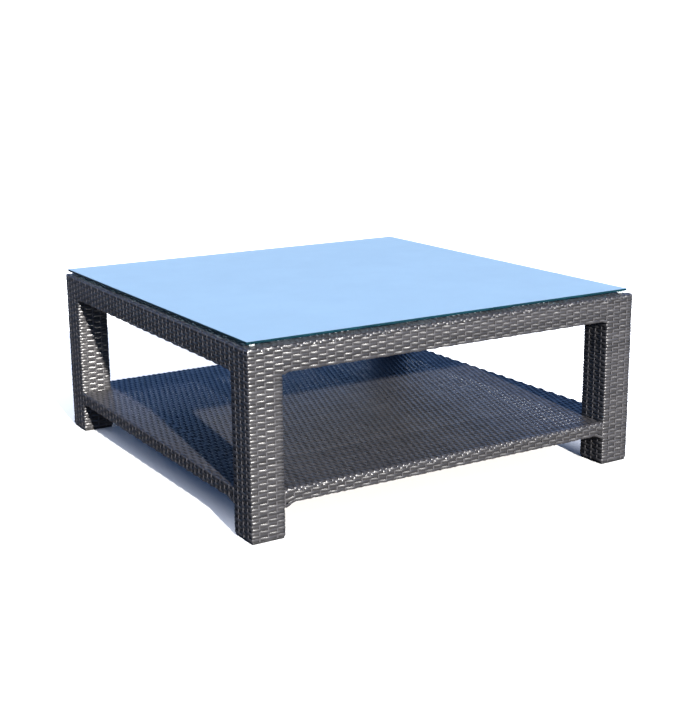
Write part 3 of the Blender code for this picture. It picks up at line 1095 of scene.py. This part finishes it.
# Colour of the light from all round. Levels run from -1, straight down, to 1, straight up.
SKY = (
    (-1.0, (0.050, 0.045, 0.040)),
    (-0.10, (0.070, 0.065, 0.065)),
    (-0.01, (0.12, 0.15, 0.22)),
    (0.02, (0.24, 0.36, 0.60)),
    (0.14, (0.34, 0.52, 0.84)),
    (0.23, (0.27, 0.46, 0.86)),
    (0.36, (0.14, 0.30, 0.72)),
    (0.60, (0.06, 0.16, 0.50)),
    (1.0, (0.03, 0.10, 0.36)),
)


class TABLE_OT_stage(bpy.types.Operator):
    """Set up the floor, the lights and the camera"""
    bl_idname = "table.stage"
    bl_label = "Stage"

    def execute(self, context):
        settings = context.scene.table_stage
        floor = self.lay_floor(settings)
        self.stand_wall()
        self.light(context, settings)
        self.light_floor(settings, floor)
        self.place_camera(context)
        return {"FINISHED"}

    def lay_floor(self, settings):
        """A pale floor that reaches to the wall."""
        start_clean()
        bpy.ops.mesh.primitive_circle_add(vertices=ROUND_SIDES, radius=FLOOR_RADIUS, fill_type="NGON",
                                          location=(0, 0, -FLOOR_GAP))
        floor = bpy.context.object
        floor.name = "studio_floor"
        apply_place(floor)
        material, tree, shader = new_material("pale floor", settings.floor_colour, 0.9)
        place = node(tree, "ShaderNodeTexCoord")
        cloud = node(tree, "ShaderNodeTexNoise", Scale=1.5, Detail=3.0)
        tree.links.new(place.outputs["Object"], cloud.inputs["Vector"])
        darker = scaled(settings.floor_colour, 0.985)
        tint = ramp(tree, cloud.outputs["Fac"], darker, settings.floor_colour)
        tree.links.new(tint, shader.inputs["Base Color"])
        floor.data.materials.append(material)
        floor.visible_diffuse = False
        floor.visible_glossy = False
        return floor

    def stand_wall(self):
        """A white wall far behind the table, all round. It lights and shadows nothing."""
        start_clean()
        bpy.ops.mesh.primitive_cylinder_add(vertices=ROUND_SIDES, radius=FLOOR_RADIUS,
                                            depth=WALL_HEIGHT, end_fill_type="NOTHING",
                                            location=(0, 0, WALL_HEIGHT / 2))
        wall = bpy.context.object
        wall.name = "studio_wall"
        apply_place(wall)
        material, _, shader = new_material("white wall", WHITE, 1.0)
        shader.inputs["Emission Color"].default_value = (*WHITE, 1)
        shader.inputs["Emission Strength"].default_value = 1.0
        wall.data.materials.append(material)
        wall.visible_diffuse = False
        wall.visible_glossy = False
        wall.visible_shadow = False

    def light(self, context, settings):
        """Soft sky light from all round, and the key light."""
        world = bpy.data.worlds.new("studio")
        context.scene.world = world
        world.use_nodes = True
        tree = world.node_tree
        background = tree.nodes["Background"]
        background.inputs["Strength"].default_value = settings.fill_strength
        place = node(tree, "ShaderNodeTexCoord")
        parts = node(tree, "ShaderNodeSeparateXYZ")
        tree.links.new(place.outputs["Generated"], parts.inputs[0])
        height = node(tree, "ShaderNodeMapRange", From_Min=-1.0, From_Max=1.0)
        tree.links.new(parts.outputs["Z"], height.inputs["Value"])
        sky = node(tree, "ShaderNodeValToRGB")
        tree.links.new(height.outputs[0], sky.inputs["Fac"])
        stops = sky.color_ramp.elements
        while len(stops) < len(SKY):
            stops.new(0.5)
        for stop, (level, colour) in zip(stops, SKY):
            stop.position = (level + 1) / 2
            stop.color = (*colour, 1)
        tree.links.new(sky.outputs["Color"], background.inputs["Color"])
        start_clean()
        bpy.ops.object.light_add(type="SUN", location=KEY_PLACE)
        key = bpy.context.object
        key.name = "key_light"
        key.data.energy = settings.key_strength
        key.data.angle = settings.key_softness
        key.data.color = KEY_COLOUR
        key.rotation_euler = Vector(KEY_TRAVEL).to_track_quat("-Z", "Y").to_euler()
        context.scene.view_settings.view_transform = "Standard"

    def light_floor(self, settings, floor):
        """Two overhead lights that fall on the floor alone. The second keeps its shadow pale."""
        lit = bpy.data.collections.new("floor alone")
        lit.objects.link(floor)
        for name, energy, shadow in (("floor_light", settings.floor_light, True),
                                     ("floor_fill", settings.floor_fill, False)):
            start_clean()
            bpy.ops.object.light_add(type="SUN", location=(0, 0, LAMP_HEIGHT))
            lamp = bpy.context.object
            lamp.name = name
            lamp.data.energy = energy
            lamp.data.angle = FLOOR_LIGHT_ANGLE
            lamp.data.use_shadow = shadow
            lamp.light_linking.receiver_collection = lit

    def place_camera(self, context):
        """Stand the camera to the front left, above the table, looking down at it."""
        eye = Vector(CAMERA_EYE) * 2 * HALF
        level = math.cos(CAMERA_PITCH)
        ahead = Vector((math.sin(CAMERA_YAW) * level, math.cos(CAMERA_YAW) * level,
                        -math.sin(CAMERA_PITCH)))
        right = Vector((math.cos(CAMERA_YAW), -math.sin(CAMERA_YAW), 0))
        up = right.cross(ahead)
        tilted_right = math.cos(CAMERA_ROLL) * right + math.sin(CAMERA_ROLL) * up
        tilted_up = math.cos(CAMERA_ROLL) * up - math.sin(CAMERA_ROLL) * right
        turn = Matrix((tilted_right, tilted_up, -ahead)).transposed().to_4x4()
        bpy.ops.object.camera_add(location=eye)
        camera = bpy.context.object
        camera.name = "camera"
        camera.matrix_world = Matrix.Translation(eye) @ turn
        camera.data.sensor_fit = "HORIZONTAL"
        camera.data.sensor_width = CAMERA_SENSOR
        camera.data.lens = CAMERA_LENS
        context.scene.camera = camera


# --- Add-on ----------------------------------------------------------------------------------

OPERATORS = (
    TABLE_OT_stage,
    TABLE_OT_weave_legs,
    TABLE_OT_weave_aprons,
    TABLE_OT_weave_shelf_edges,
    TABLE_OT_weave_top,
    TABLE_OT_weave_shelf,
    TABLE_OT_glass,
    TABLE_OT_bumpers,
    TABLE_OT_frame_finish,
)


class TABLE_PT_panel(bpy.types.Panel):
    """Steps that finish the table, in order"""
    bl_label = "Wicker Table"
    bl_idname = "TABLE_PT_panel"
    bl_space_type = "VIEW_3D"
    bl_region_type = "UI"
    bl_category = "Wicker Table"

    def draw(self, context):
        for settings in (context.scene.table_weave, context.scene.table_glass, context.scene.table_stage):
            for name in settings.bl_rna.properties.keys():
                if name not in ("rna_type", "name"):
                    self.layout.prop(settings, name)
        for operator in OPERATORS:
            self.layout.operator(operator.bl_idname)


CLASSES = (WeaveSettings, GlassSettings, StageSettings, *OPERATORS, TABLE_PT_panel)


def register():
    for item in CLASSES:
        bpy.utils.register_class(item)
    bpy.types.Scene.table_weave = PointerProperty(type=WeaveSettings)
    bpy.types.Scene.table_glass = PointerProperty(type=GlassSettings)
    bpy.types.Scene.table_stage = PointerProperty(type=StageSettings)


def unregister():
    del bpy.types.Scene.table_stage
    del bpy.types.Scene.table_glass
    del bpy.types.Scene.table_weave
    for item in reversed(CLASSES):
        bpy.utils.unregister_class(item)


def main():
    register()
    bpy.ops.table.stage()
    bpy.ops.table.weave_legs()
    bpy.ops.table.weave_aprons()
    bpy.ops.table.weave_shelf_edges()
    bpy.ops.table.weave_top()
    bpy.ops.table.weave_shelf()
    bpy.ops.table.glass()
    bpy.ops.table.bumpers()
    bpy.ops.table.frame_finish()


if __name__ == "__main__":
    main()
